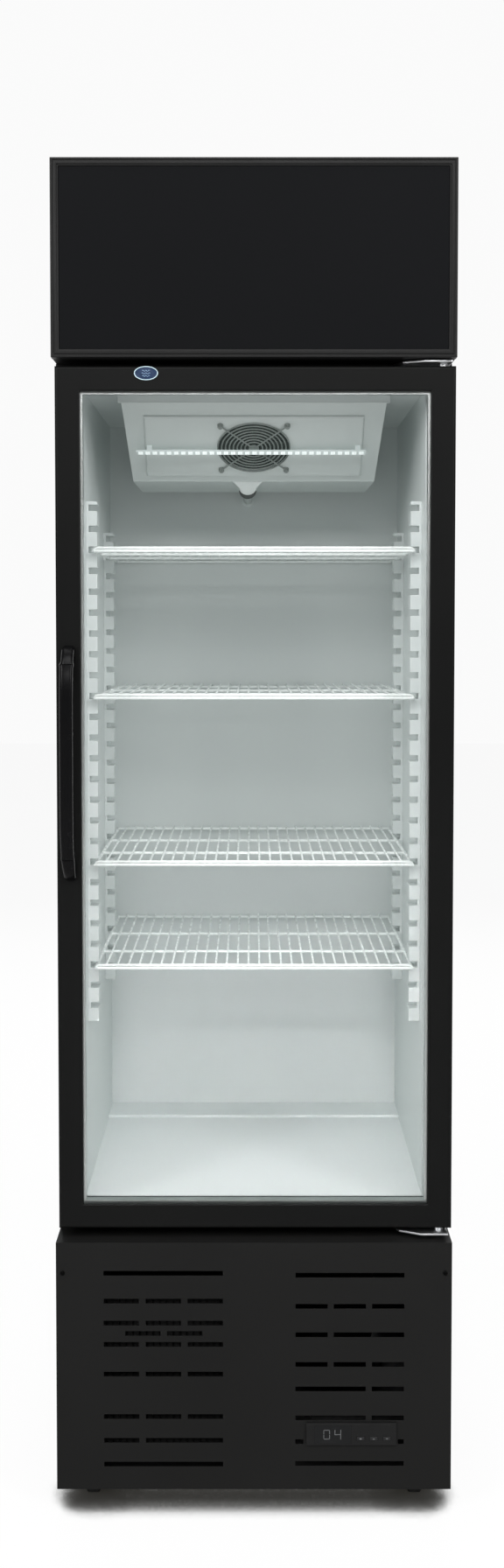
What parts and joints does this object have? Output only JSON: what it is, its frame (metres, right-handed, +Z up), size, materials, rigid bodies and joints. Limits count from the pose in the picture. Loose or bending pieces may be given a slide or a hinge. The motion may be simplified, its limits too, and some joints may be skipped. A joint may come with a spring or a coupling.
{
  "type": "glass door merchandiser",
  "caption": "Upright black refrigerated display cabinet with a hinged double-glazed door, wire shelves, a blank sign box on top and a slotted base grille with a digital controller, on castors.",
  "frame": {"origin": "middle of the footprint's bounding box, on the floor under the castors", "axes": "+Z up, the door faces -Y, +X is to the right of someone facing the door"},
  "size_m": [0.6, 0.57, 2.04],
  "materials": {
    "painted_black": "satin",
    "sign_black": "gloss",
    "black_plastic": "matte",
    "door_black": "satin",
    "white_liner": "satin",
    "white_wire": "gloss",
    "zinc_steel": "satin",
    "foam": "matte",
    "glass_clear": "gloss",
    "aluminium_fins": "satin",
    "condenser_fins": "matte",
    "copper": "satin",
    "compressor_black": "gloss",
    "rubber_black": "matte",
    "gasket_grey": "matte",
    "tread_black": "matte",
    "motor_grey": "matte",
    "blade_silver": "satin",
    "grey_plastic": "matte",
    "clear_plastic": "gloss",
    "display_dark": "gloss",
    "key_black": "matte",
    "badge_blue": "gloss",
    "nylon": "satin"
  },
  "bodies": {
    "cabinet": {"side_panel_left": "painted_black", "side_panel_right": "painted_black", "top_panel": "painted_black", "rear_panel": "painted_black", "belly_plate": "painted_black", "inner_liner": "white_liner", "foam_insulation": "foam", "base_pan": "zinc_steel", "front_grille": "painted_black", "rear_vent_cover": "painted_black", "panel_screws": "zinc_steel", "castor_mounts": "zinc_steel", "condenser_coil": "condenser_fins", "condenser_shroud": "painted_black", "condenser_motor": "motor_grey", "compressor": "compressor_black", "compressor_grommets": "rubber_black", "evaporation_tray": "black_plastic", "refrigerant_lines": "copper", "cable_gland": "black_plastic", "controller_body": "black_plastic", "controller_bezel": "black_plastic", "display_window": "display_dark", "sign_housing": "painted_black", "sign_frame": "painted_black", "sign_panel": "sign_black", "sign_lights": "aluminium_fins", "hinge_brackets": "zinc_steel", "hinge_pins": "zinc_steel", "shelf_rails": "white_liner", "shelf_1": "white_wire", "shelf_2": "white_wire", "shelf_3": "white_wire", "shelf_4": "white_wire", "evaporator_cover": "white_liner", "fan_guard": "zinc_steel", "fan_frame": "black_plastic", "evaporator_coil": "aluminium_fins", "led_bar": "clear_plastic", "drain_hose": "grey_plastic"},
    "door": {"door_stiles": "door_black", "door_rails": "door_black", "glass_panes": "glass_clear", "glass_spacer": "aluminium_fins", "door_gasket": "gasket_grey", "handle_grip": "black_plastic", "handle_caps": "black_plastic", "door_badge": "badge_blue", "hinge_bushes": "nylon"},
    "condenser_fan": {"condenser_blade": "blade_silver"},
    "evaporator_fan": {"fan_blade": "grey_plastic"},
    "key_set": {"key_set": "key_black"},
    "key_up": {"key_up": "key_black"},
    "key_down": {"key_down": "key_black"},
    "fork_left": {"castor_fork_left": "zinc_steel"},
    "fork_right": {"castor_fork_right": "zinc_steel"},
    "wheel_front_left": {"wheel_front_left": "tread_black"},
    "wheel_front_right": {"wheel_front_right": "tread_black"},
    "wheel_rear_left": {"wheel_rear_left": "tread_black"},
    "wheel_rear_right": {"wheel_rear_right": "tread_black"}
  },
  "joints": [
    {"name": "door_hinge", "type": "hinge", "parent": "cabinet", "child": "door", "pos_m": [0.282, -0.229, 1.088], "axis": [0, 0, 1], "range_deg": [0, 110]},
    {"name": "evaporator_fan_spin", "type": "hinge", "parent": "cabinet", "child": "evaporator_fan", "pos_m": [0, -0.086, 1.64], "axis": [0, 0.5635, 0.8261], "continuous": true},
    {"name": "condenser_fan_spin", "type": "hinge", "parent": "cabinet", "child": "condenser_fan", "pos_m": [-0.125, -0.163, 0.205], "axis": [0, 1, 0], "continuous": true},
    {"name": "swivel_front_left", "type": "hinge", "parent": "cabinet", "child": "fork_left", "pos_m": [-0.25, -0.183, 0.045], "axis": [0, 0, 1], "continuous": true},
    {"name": "swivel_front_right", "type": "hinge", "parent": "cabinet", "child": "fork_right", "pos_m": [0.25, -0.183, 0.045], "axis": [0, 0, 1], "continuous": true},
    {"name": "roll_front_left", "type": "hinge", "parent": "fork_left", "child": "wheel_front_left", "pos_m": [-0.25, -0.197, 0.018], "axis": [1, 0, 0], "continuous": true},
    {"name": "roll_front_right", "type": "hinge", "parent": "fork_right", "child": "wheel_front_right", "pos_m": [0.25, -0.197, 0.018], "axis": [1, 0, 0], "continuous": true},
    {"name": "roll_rear_left", "type": "hinge", "parent": "cabinet", "child": "wheel_rear_left", "pos_m": [-0.25, 0.201, 0.018], "axis": [1, 0, 0], "continuous": true},
    {"name": "roll_rear_right", "type": "hinge", "parent": "cabinet", "child": "wheel_rear_right", "pos_m": [0.25, 0.201, 0.018], "axis": [1, 0, 0], "continuous": true},
    {"name": "press_set", "type": "slide", "parent": "cabinet", "child": "key_set", "axis": [0, 1, 0], "range_m": [0, 0.0006], "stiffness_N_per_m": 200, "springref_m": -0.0004},
    {"name": "press_up", "type": "slide", "parent": "cabinet", "child": "key_up", "axis": [0, 1, 0], "range_m": [0, 0.0006], "stiffness_N_per_m": 200, "springref_m": -0.0004},
    {"name": "press_down", "type": "slide", "parent": "cabinet", "child": "key_down", "axis": [0, 1, 0], "range_m": [0, 0.0006], "stiffness_N_per_m": 200, "springref_m": -0.0004}
  ]
}
